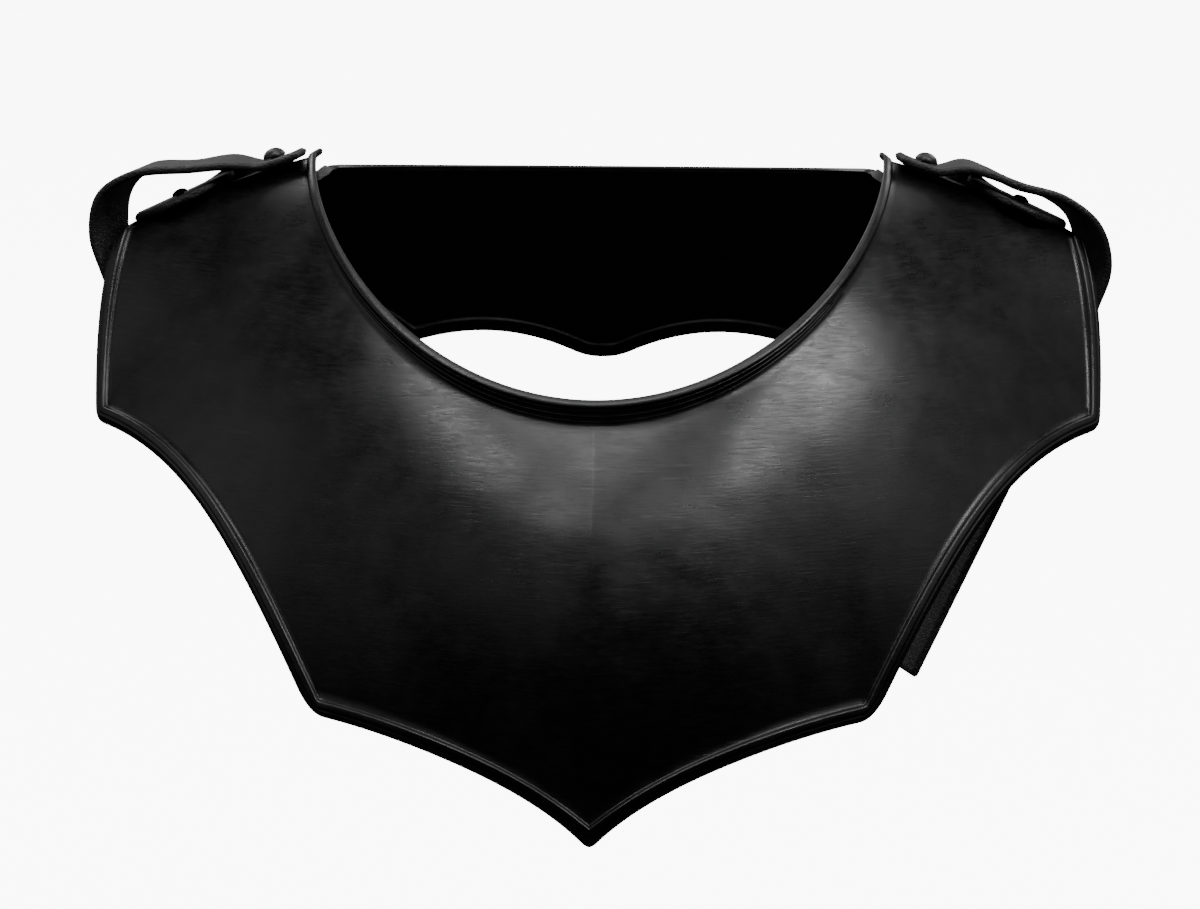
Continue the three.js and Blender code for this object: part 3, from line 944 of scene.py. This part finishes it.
class Graph:
    """A short way to add linked nodes to a node tree."""

    def __init__(self, tree: bpy.types.NodeTree) -> None:
        """Keep the tree that nodes are added to."""
        self.tree = tree

    def node(self, kind: str, inputs: dict | None = None, **settings: object) -> bpy.types.Node:
        """Add a node.

        Args:
            kind: The node's type name.
            inputs: Values or output sockets for its inputs, by name or number.
            **settings: Properties to set first.

        Returns:
            The new node.
        """
        node = self.tree.nodes.new(kind)
        for key, value in settings.items():
            setattr(node, key, value)
        for key, value in (inputs or {}).items():
            socket = node.inputs[key]
            if isinstance(value, bpy.types.NodeSocket):
                self.tree.links.new(value, socket)
            else:
                socket.default_value = value
        return node

    def math(self, operation: str, a: object, b: object = 0.0,
             clamp: bool = False) -> bpy.types.NodeSocket:
        """Return the result of a Math node."""
        node = self.node("ShaderNodeMath", {0: a, 1: b}, operation=operation, use_clamp=clamp)
        return node.outputs[0]

    def vector(self, operation: str, a: object, settings: dict) -> bpy.types.NodeSocket:
        """Return the result of a Vector Math node."""
        return self.node("ShaderNodeVectorMath", {0: a, **settings}, operation=operation).outputs[0]

    def ramp(self, value: bpy.types.NodeSocket, low: float, high: float,
             to_low: float = 0.0, to_high: float = 1.0) -> bpy.types.NodeSocket:
        """Return a value mapped from one range to another, with smooth ends."""
        inputs = {"Value": value, "From Min": low, "From Max": high,
                  "To Min": to_low, "To Max": to_high}
        return self.node("ShaderNodeMapRange", inputs, interpolation_type="SMOOTHSTEP").outputs[0]

    def colour(self, factor: object, a: object, b: object) -> bpy.types.NodeSocket:
        """Return the result of a colour Mix node."""
        return self.node("ShaderNodeMix", {0: factor, 6: a, 7: b}, data_type="RGBA").outputs[2]

    def noise(self, vector: bpy.types.NodeSocket, scale: float, detail: float = 3.0,
              roughness: float = 0.5) -> bpy.types.NodeSocket:
        """Return the value of a Noise texture."""
        inputs = {"Vector": vector, "Scale": scale, "Detail": detail, "Roughness": roughness}
        return self.node("ShaderNodeTexNoise", inputs).outputs[0]

    def stretched(self, scale: Sequence[float],
                  turn: Sequence[float] = (0, 0, 0)) -> bpy.types.NodeSocket:
        """Return object coordinates, turned and stretched."""
        place = self.node("ShaderNodeTexCoord").outputs["Object"]
        inputs = {"Vector": place, "Rotation": turn, "Scale": scale}
        return self.node("ShaderNodeMapping", inputs).outputs[0]

    def sized(self, scale: bpy.types.NodeSocket) -> bpy.types.NodeSocket:
        """Return object coordinates, scaled by a group's own input."""
        place = self.node("ShaderNodeTexCoord").outputs["Object"]
        return self.vector("SCALE", place, {3: scale})

    def feed(self, shader: bpy.types.Node, sockets: dict[str, bpy.types.NodeSocket]) -> None:
        """Link results to a shader's inputs by name."""
        for name, socket in sockets.items():
            self.tree.links.new(socket, shader.inputs[name])


def new_group(name: str, inputs: dict[str, float],
              outputs: Sequence[str]) -> tuple[bpy.types.NodeTree, Graph]:
    """Start a shader node group with float inputs and outputs.

    Args:
        name: The group's name.
        inputs: Names and default values of the inputs.
        outputs: Names of the outputs.

    Returns:
        The group and a graph that adds nodes to it.
    """
    kind = "NodeSocketFloat"
    group = bpy.data.node_groups.new(name, "ShaderNodeTree")
    for label, value in inputs.items():
        socket = group.interface.new_socket(label, in_out="INPUT", socket_type=kind)
        socket.default_value = value
    for label in outputs:
        group.interface.new_socket(label, in_out="OUTPUT", socket_type=kind)
    return group, Graph(group)


def brushed_group() -> bpy.types.NodeTree:
    """Make the group of fine brushed lines and stray scratches."""
    group, graph = new_group("brushed_lines", {"Scratches": 1.0}, ("Lines", "Scratch"))
    source = graph.node("NodeGroupInput")
    even = (1, 1, 1)
    coarse = graph.noise(graph.stretched((150, 150, 1000), (0.0, 0.06, 0.0)), 1.0, 2.0)
    close = graph.noise(graph.stretched((240, 240, 1600), (0.0, 0.42, 0.0)), 1.0, 2.0)
    lines = graph.ramp(graph.math("MULTIPLY", coarse, close), 0.12, 0.42)
    hair_width, patch_scale = 0.02, 75.0
    scratch = None
    for scale, turn in (
        ((3, 3, 420), (0.5, 0.8, 0.2)),
        ((4, 4, 520), (-0.7, 0.3, 1.1)),
        ((3, 3, 480), (0.2, -1.0, -0.5)),
        ((5, 5, 640), (0.1, 0.12, 0.9)),
    ):
        level = graph.noise(graph.stretched(scale, turn), 1.0, 0.0)
        away = graph.math("ABSOLUTE", graph.math("SUBTRACT", level, 0.5))
        hair = graph.ramp(away, 0.0, hair_width, 1.0, 0.0)
        here = graph.ramp(graph.noise(graph.stretched(even, turn), patch_scale), 0.52, 0.66)
        hair = graph.math("MULTIPLY", hair, here)
        scratch = hair if scratch is None else graph.math("MAXIMUM", scratch, hair)
    scratch = graph.math("MULTIPLY", scratch, source.outputs["Scratches"])
    graph.node("NodeGroupOutput", {"Lines": lines, "Scratch": scratch})
    return group


def patina_group() -> bpy.types.NodeTree:
    """Make the group of cloudy blackening, small dents and fine pitting."""
    group, graph = new_group("patina", {"Scale": 1.0}, ("Cloud", "Dents", "Pits"))
    sized = graph.sized(graph.node("NodeGroupInput").outputs["Scale"])
    broad = graph.math("MULTIPLY", graph.noise(sized, 16.0, 5.0, 0.62), 0.6)
    small = graph.math("MULTIPLY", graph.noise(sized, 95.0, 4.0, 0.6), 0.4)
    cloud = graph.math("ADD", broad, small)
    dents = graph.noise(sized, 34.0, 1.0)
    pits = graph.ramp(graph.noise(sized, 620.0, 3.0, 0.7), 0.6, 0.76)
    graph.node("NodeGroupOutput", {"Cloud": cloud, "Dents": dents, "Pits": pits})
    return group


def wear_and_painted_light_group() -> bpy.types.NodeTree:
    """Make the group that breaks up the wear stored on a piece's points, which also holds painted
    shade on strap edges and a painted highlight on the keel.
    """
    group, graph = new_group("worn_crests_and_painted_light", {"Amount": 1.0}, ("Mask",))
    source = graph.node("NodeGroupInput")
    stored = graph.node("ShaderNodeAttribute", attribute_name="wear", attribute_type="GEOMETRY")
    place = graph.node("ShaderNodeTexCoord").outputs["Object"]
    patchy = graph.math("MULTIPLY", graph.noise(place, 60.0, 4.0, 0.65), 0.7)
    fine = graph.math("MULTIPLY", graph.noise(place, 420.0, 3.0, 0.6), 0.5)
    stretches = graph.ramp(graph.noise(place, 14.0, 2.0), 0.38, 0.62, 0.25, 1.0)
    broken = graph.ramp(graph.math("ADD", patchy, fine), 0.42, 0.74)
    broken = graph.math("MULTIPLY", broken, stretches)
    mask = graph.math("MULTIPLY", stored.outputs["Fac"], broken, clamp=True)
    mask = graph.math("MULTIPLY", mask, source.outputs["Amount"], clamp=True)
    graph.node("NodeGroupOutput", {"Mask": mask})
    return group


def grain_group() -> bpy.types.NodeTree:
    """Make the group of leather grain, creases across a strap and a rubbed surface."""
    group, graph = new_group("leather_grain", {"Scale": 1.0}, ("Height", "Rub", "Crease"))
    sized = graph.sized(graph.node("NodeGroupInput").outputs["Scale"])
    wander = graph.node("ShaderNodeTexNoise", {"Vector": sized, "Scale": 260.0, "Detail": 2.0})
    bend = graph.vector("SCALE", wander.outputs[1], {3: 0.0022})
    bent = graph.vector("ADD", sized, {1: bend})
    cells = graph.node("ShaderNodeTexVoronoi", {"Vector": bent, "Scale": 620.0},
                       feature="DISTANCE_TO_EDGE")
    pebble = graph.ramp(cells.outputs["Distance"], 0.0, 0.22)
    crease = graph.ramp(graph.noise(graph.stretched((260, 26, 260)), 1.0, 3.0, 0.6), 0.56, 0.74)
    height = graph.math("SUBTRACT", pebble, graph.math("MULTIPLY", crease, 1.2))
    rub = graph.ramp(graph.noise(sized, 42.0, 5.0, 0.65), 0.4, 0.72)
    graph.node("NodeGroupOutput", {"Height": height, "Rub": rub, "Crease": crease})
    return group


@dataclass(frozen=True)
class SteelFinish:
    """Blackened steel: oxide, the brighter steel under it, and how rough both are."""

    name: str
    oxide: Grey
    cloudy: Grey
    bare: Grey
    roughness: float
    bare_roughness: float
    wear: float
    scratches: float
    bump: float
    fine_depth: float = 0.00012
    dent_bump: float = 0.55
    dent_depth: float = 0.0011
    scratch_shine: float = 0.3
    cloud_roughness: float = 0.09
    line_roughness: float = 0.06
    line_height: float = 0.16
    scratch_cut: float = 0.5
    pit_cut: float = 0.25

    def material(self, groups: dict[str, bpy.types.NodeTree]) -> bpy.types.Material:
        """Return the finish as a material, using the shared groups."""
        material = bpy.data.materials.new(self.name)
        material.use_nodes = True
        graph = Graph(material.node_tree)
        shader = material.node_tree.nodes["Principled BSDF"]
        brushed = graph.node("ShaderNodeGroup", {}, node_tree=groups["brushed"])
        brushed.inputs["Scratches"].default_value = self.scratches
        patina = graph.node("ShaderNodeGroup", {}, node_tree=groups["patina"])
        worn = graph.node("ShaderNodeGroup", {}, node_tree=groups["worn"])
        worn.inputs["Amount"].default_value = self.wear
        cloud = graph.ramp(patina.outputs["Cloud"], 0.36, 0.64)
        colour = graph.colour(cloud, self.oxide, self.cloudy)
        rubbed = graph.math("MULTIPLY", brushed.outputs["Scratch"], self.scratch_shine)
        bright = graph.math("MAXIMUM", worn.outputs["Mask"], rubbed)
        # Worn and scratched places take the bare colour. On the keel this is partly a painted
        # highlight.
        colour = graph.colour(bright, colour, self.bare)
        clouded = graph.math("MULTIPLY", cloud, self.cloud_roughness)
        lined = graph.math("MULTIPLY", brushed.outputs["Lines"], self.line_roughness)
        rough = graph.math("ADD", graph.math("ADD", clouded, self.roughness), lined)
        mixed = graph.node("ShaderNodeMix", {0: bright, 2: rough, 3: self.bare_roughness})
        height = graph.math("MULTIPLY", brushed.outputs["Lines"], self.line_height)
        cut = graph.math("MULTIPLY", brushed.outputs["Scratch"], self.scratch_cut)
        pits = graph.math("MULTIPLY", patina.outputs["Pits"], self.pit_cut)
        height = graph.math("SUBTRACT", graph.math("SUBTRACT", height, cut), pits)
        fine = graph.node("ShaderNodeBump", {
            "Strength": self.bump, "Distance": self.fine_depth, "Height": height,
        })
        dents = graph.node("ShaderNodeBump", {
            "Strength": self.dent_bump, "Distance": self.dent_depth,
            "Height": patina.outputs["Dents"], "Normal": fine.outputs[0],
        })
        shader.inputs["Metallic"].default_value = 1.0
        graph.feed(shader, {
            "Base Color": colour, "Roughness": mixed.outputs[0], "Normal": dents.outputs[0],
        })
        return material


@dataclass(frozen=True)
class LeatherFinish:
    """Waxed black leather with rubbed high spots, and darker edges: partly burnished, partly
    painted shade.
    """

    name: str
    dye: Grey
    rubbed: Grey
    edge: Grey
    roughness: float
    bump: float
    burnish_and_edge_shade: float = 0.9
    grain_depth: float = 0.00025
    rub_roughness: float = -0.1
    edge_roughness: float = 0.2
    reflectance: float = 0.45

    def material(self, groups: dict[str, bpy.types.NodeTree]) -> bpy.types.Material:
        """Return the finish as a material, using the shared groups."""
        material = bpy.data.materials.new(self.name)
        material.use_nodes = True
        graph = Graph(material.node_tree)
        shader = material.node_tree.nodes["Principled BSDF"]
        grain = graph.node("ShaderNodeGroup", {}, node_tree=groups["grain"])
        worn = graph.node("ShaderNodeGroup", {}, node_tree=groups["worn"])
        worn.inputs["Amount"].default_value = self.burnish_and_edge_shade
        colour = graph.colour(grain.outputs["Rub"], self.dye, self.rubbed)
        colour = graph.colour(grain.outputs["Crease"], colour, self.dye)
        # The edge colour darkens strap edges and ends: partly burnish, partly painted shade.
        colour = graph.colour(worn.outputs["Mask"], colour, self.edge)
        rubbed = graph.math("MULTIPLY", grain.outputs["Rub"], self.rub_roughness)
        edges = graph.math("MULTIPLY", worn.outputs["Mask"], self.edge_roughness)
        rough = graph.math("ADD", graph.math("ADD", rubbed, self.roughness), edges)
        bump = graph.node("ShaderNodeBump", {
            "Strength": self.bump, "Distance": self.grain_depth, "Height": grain.outputs["Height"],
        })
        shader.inputs["Metallic"].default_value = 0.0
        shader.inputs["Specular IOR Level"].default_value = self.reflectance
        graph.feed(shader, {"Base Color": colour, "Roughness": rough, "Normal": bump.outputs[0]})
        return material


@dataclass(frozen=True)
class Lamp:
    """A soft area light: its way from the gorget, its distance and size in metres, and watts."""

    name: str
    way: tuple[float, float, float]
    distance: float
    size: tuple[float, float]
    energy: float


LAMPS = (
    Lamp("front_strip", (-0.05, -0.32, 0.95), 1.6, (0.84, 0.11), 5.8),
    Lamp("left_key", (-0.33, -0.46, 0.82), 1.6, (0.24, 0.22), 3.3),
    Lamp("right_key", (0.47, -0.43, 0.77), 1.6, (0.44, 0.2), 7.4),
    Lamp("overhead", (0.0, 0.1, 1.0), 2.0, (1.5, 1.2), 9.0),
    Lamp("left_fill", (-0.9, -0.33, 0.38), 2.2, (1.2, 1.4), 3.4),
    Lamp("right_fill", (0.85, -0.35, 0.45), 2.2, (1.4, 1.4), 3.2),
    Lamp("left_back", (-0.5, 0.55, 0.66), 2.0, (0.7, 0.7), 9.0),
    Lamp("right_back", (0.58, 0.52, 0.62), 2.0, (0.7, 0.7), 9.0),
    Lamp("left_low", (-0.48, -0.7, 0.5), 2.0, (0.6, 0.5), 0.5),
    Lamp("right_low", (0.64, -0.55, 0.54), 2.0, (0.34, 0.34), 0.6),
)


@dataclass
class Studio:
    """Camera, lights, pale floor and pale surroundings."""

    target: Vector = field(default_factory=lambda: Vector((1.1, -30.0, -99.8)))
    azimuth: float = 0.84
    elevation: float = 13.65
    distance: float = 1148.3
    roll: float = 0.3
    focal_pixels: float = 3254.5
    image_width: float = 1200.0
    sensor: float = 36.0
    floor_drop: float = 420.0
    floor_size: float = 9000.0
    floor_shades: tuple[Grey, Grey] = ((0.86, 0.86, 0.86, 1), (0.9, 0.9, 0.9, 1))
    floor_roughness: float = 0.9
    room: Grey = (0.02, 0.02, 0.02, 1)
    room_behind: Grey = (0.5, 0.5, 0.5, 1)
    brightness: float = 9.0
    farthest: float = 50.0

    def camera(self) -> None:
        """Place the camera at the photograph's angle."""
        az, el, roll = (math.radians(v) for v in (self.azimuth, self.elevation, self.roll))
        back = Vector((math.sin(az) * math.cos(el), -math.cos(az) * math.cos(el), math.sin(el)))
        level = (-back).cross(Vector((0, 0, 1))).normalized()
        upright = level.cross(-back)
        right = level * math.cos(roll) + upright * math.sin(roll)
        up = right.cross(-back)
        data = bpy.data.cameras.new("camera")
        data.sensor_width = self.sensor
        data.lens = self.sensor * self.focal_pixels / self.image_width
        data.clip_end = self.farthest
        camera = bpy.data.objects.new("camera", data)
        turn = Matrix((right, up, back)).transposed().to_4x4()
        camera.matrix_world = Matrix.Translation((self.target + back * self.distance) * MM) @ turn
        bpy.context.scene.collection.objects.link(camera)
        bpy.context.scene.camera = camera

    def light(self, lamp: Lamp) -> None:
        """Hang a soft area light that faces the gorget."""
        data = bpy.data.lights.new(lamp.name, "AREA")
        data.shape = "RECTANGLE"
        data.size, data.size_y = lamp.size
        data.energy = lamp.energy
        hung = bpy.data.objects.new(lamp.name, data)
        way = Vector(lamp.way).normalized()
        hung.location = self.target * MM + way * lamp.distance
        hung.rotation_euler = way.to_track_quat("Z", "Y").to_euler()
        bpy.context.scene.collection.objects.link(hung)

    def floor(self) -> None:
        """Lay a pale floor well below the gorget, out of its reflections."""
        half = self.floor_size / 2 * MM
        drop = -self.floor_drop * MM
        mesh = bpy.data.meshes.new("floor")
        square = ((-half, -half), (half, -half), (half, half), (-half, half))
        mesh.from_pydata([(x, y, drop) for x, y in square], [], [(0, 1, 2, 3)])
        floor = bpy.data.objects.new("floor", mesh)
        bpy.context.scene.collection.objects.link(floor)
        material = bpy.data.materials.new("pale_floor")
        material.use_nodes = True
        graph = Graph(material.node_tree)
        shader = material.node_tree.nodes["Principled BSDF"]
        shade = graph.noise(graph.stretched((1, 1, 1)), 3.0, 2.0)
        colour = graph.colour(shade, *self.floor_shades)
        graph.feed(shader, {"Base Color": colour})
        shader.inputs["Roughness"].default_value = self.floor_roughness
        shader.inputs["Emission Color"].default_value = (1, 1, 1, 1)
        shader.inputs["Emission Strength"].default_value = self.brightness
        mesh.materials.append(material)
        floor.visible_glossy = False
        floor.visible_diffuse = False

    def surroundings(self) -> None:
        """Make the surroundings pale to look at, and in reflections dim, lighter up behind."""
        world = bpy.data.worlds.new("studio")
        world.use_nodes = True
        graph = Graph(world.node_tree)
        seen = graph.node("ShaderNodeLightPath").outputs["Is Camera Ray"]
        shader = world.node_tree.nodes["Background"]
        way = graph.node("ShaderNodeTexCoord").outputs["Generated"]
        parts = graph.node("ShaderNodeSeparateXYZ", {0: way}).outputs
        behind, above = graph.ramp(parts["Y"], -0.2, 0.55), graph.ramp(parts["Z"], 0.0, 0.3)
        back = graph.math("MULTIPLY", behind, above)
        room = graph.colour(back, self.room, self.room_behind)
        pale = (self.brightness, self.brightness, self.brightness, 1)
        graph.feed(shader, {"Color": graph.colour(seen, room, pale)})
        bpy.context.scene.world = world

    def build(self) -> None:
        """Set up the camera, lights, floor and surroundings."""
        self.camera()
        self.floor()
        self.surroundings()
        for lamp in LAMPS:
            self.light(lamp)


def finishes() -> dict[Slot, bpy.types.Material]:
    """Make the shared groups and return the material of each slot."""
    groups = {
        "brushed": brushed_group(),
        "patina": patina_group(),
        "worn": wear_and_painted_light_group(),
        "grain": grain_group(),
    }
    plate = SteelFinish(
        name="blackened_plate",
        oxide=(0.034, 0.034, 0.0343, 1),
        cloudy=(0.044, 0.044, 0.0443, 1),
        bare=(0.13, 0.13, 0.13, 1),
        roughness=0.25,
        bare_roughness=0.4,
        wear=0.4,
        scratches=0.3,
        bump=0.5,
    )
    rivet = SteelFinish(
        name="blackened_rivet",
        oxide=(0.03, 0.03, 0.0303, 1),
        cloudy=(0.05, 0.05, 0.0503, 1),
        bare=(0.2, 0.2, 0.2, 1),
        roughness=0.34,
        bare_roughness=0.32,
        wear=0.3,
        scratches=0.5,
        bump=0.6,
    )
    leather = LeatherFinish(
        name="black_leather",
        dye=(0.011, 0.011, 0.0111, 1),
        rubbed=(0.03, 0.03, 0.0301, 1),
        # Edge colour darker than the dye: burnished edges and painted shade.
        edge=(0.004, 0.004, 0.004, 1),
        roughness=0.48,
        bump=0.5,
    )
    return {
        Slot.STEEL: plate.material(groups),
        Slot.RIVET: rivet.material(groups),
        Slot.LEATHER: leather.material(groups),
    }


def main() -> None:
    """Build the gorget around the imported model."""
    logging.basicConfig(level=logging.INFO, format="%(name)s: %(message)s")
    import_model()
    Studio().build()
    materials = finishes()
    breast, nape = BreastPlate(), NapePlate()
    strapping = Strapping(breast, nape)
    breast.build(materials[Slot.STEEL])
    nape.build(materials[Slot.STEEL])
    strapping.build(materials[Slot.LEATHER])
    Riveting(strapping).build(materials[Slot.RIVET])


if __name__ == "__main__":
    main()
